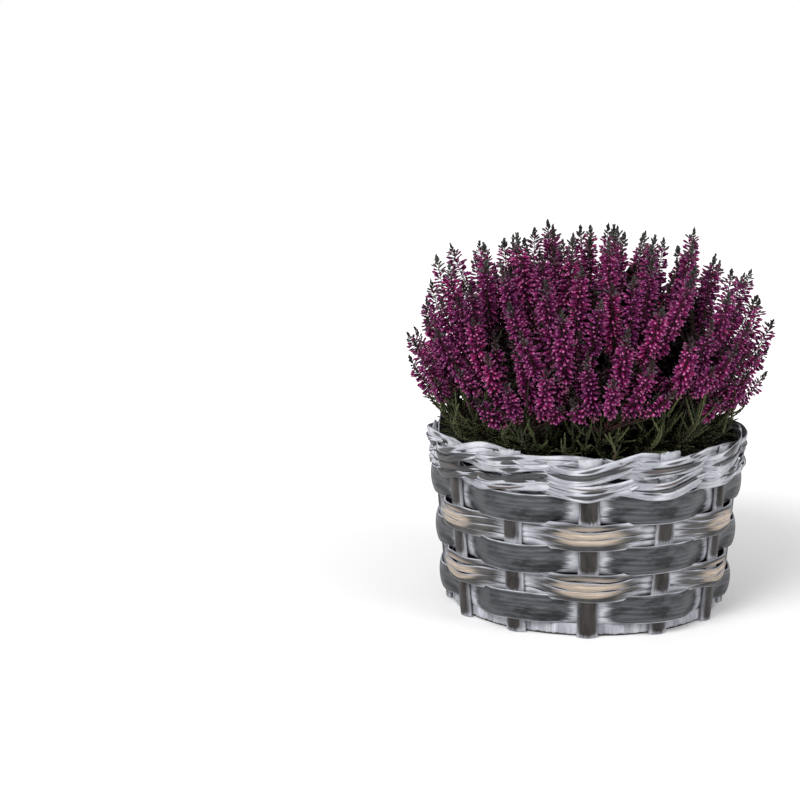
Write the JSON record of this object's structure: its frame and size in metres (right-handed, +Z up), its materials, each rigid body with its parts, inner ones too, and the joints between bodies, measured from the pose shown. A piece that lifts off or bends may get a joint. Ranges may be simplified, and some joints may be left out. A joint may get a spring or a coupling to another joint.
{
  "type": "potted heather",
  "caption": "Bushy flowering heather in potting mix, in a round low basket woven from whitewashed split willow, for a table or a windowsill.",
  "frame": {"origin": "centre of the basket's flat underside, on the surface that it stands on", "axes": "+Z up through the plant; -Y is the front, where an upright stave faces the viewer; +X to the viewer's right"},
  "size_m": [0.2659, 0.2696, 0.2737],
  "materials": {
    "bark": "split willow with its dark grey bark left on, satin, with a brushed-on white wash worn through on the bulges",
    "stave_bark": "split willow rod with dark brown-grey bark, white wash along its edges",
    "peeled_willow": "thin peeled willow strip, tan where it bulges, dark streaks and white wash elsewhere",
    "whitewash": "thin willow strip under a streaky bluish white wash",
    "base_board": "dark unfinished board",
    "liner_film": "black plastic liner, slightly shiny",
    "potting_mix": "moist dark brown peat and bark crumbs",
    "leaf": "tiny dark olive-green scale leaves on thin brown stems",
    "flower": "dark magenta buds with pink edges, matt to silky"
  },
  "bodies": {
    "root": {"base_board": "base_board", "base_edge_strip": "whitewash", "stave_01": "stave_bark", "stave_02": "stave_bark", "stave_03": "stave_bark", "stave_04": "stave_bark", "stave_05": "stave_bark", "stave_06": "stave_bark", "stave_07": "stave_bark", "stave_08": "stave_bark", "stave_09": "stave_bark", "stave_10": "stave_bark", "stave_11": "stave_bark", "stave_12": "stave_bark", "wide_weaver_01": "bark", "wide_weaver_02": "bark", "wide_weaver_03": "bark", "narrow_weaver_low_01": "peeled_willow", "narrow_weaver_high_01": "peeled_willow", "narrow_weaver_low_02": "peeled_willow", "narrow_weaver_high_02": "peeled_willow", "border_strip_01": "whitewash", "border_strip_02": "whitewash", "border_strip_03": "whitewash", "border_strip_04": "whitewash", "film_liner": "liner_film", "potting_mix": "potting_mix", "leafy_stems": "leaf", "flower_spray_01": "flower", "flower_spray_02": "flower", "flower_spray_03": "flower", "flower_spray_04": "flower", "flower_spray_05": "flower", "flower_spray_06": "flower", "flower_spray_07": "flower", "flower_spray_08": "flower", "flower_spray_09": "flower", "flower_spray_10": "flower", "flower_spray_11": "flower", "flower_spray_12": "flower", "flower_spray_13": "flower", "flower_spray_14": "flower", "flower_spray_15": "flower", "flower_spray_16": "flower", "flower_spray_17": "flower", "flower_spray_18": "flower", "flower_spray_19": "flower", "flower_spray_20": "flower", "flower_spray_21": "flower", "flower_spray_22": "flower", "flower_spray_23": "flower", "flower_spray_24": "flower", "flower_spray_25": "flower", "flower_spray_26": "flower", "flower_spray_27": "flower", "flower_spray_28": "flower"}
  },
  "joints": []
}
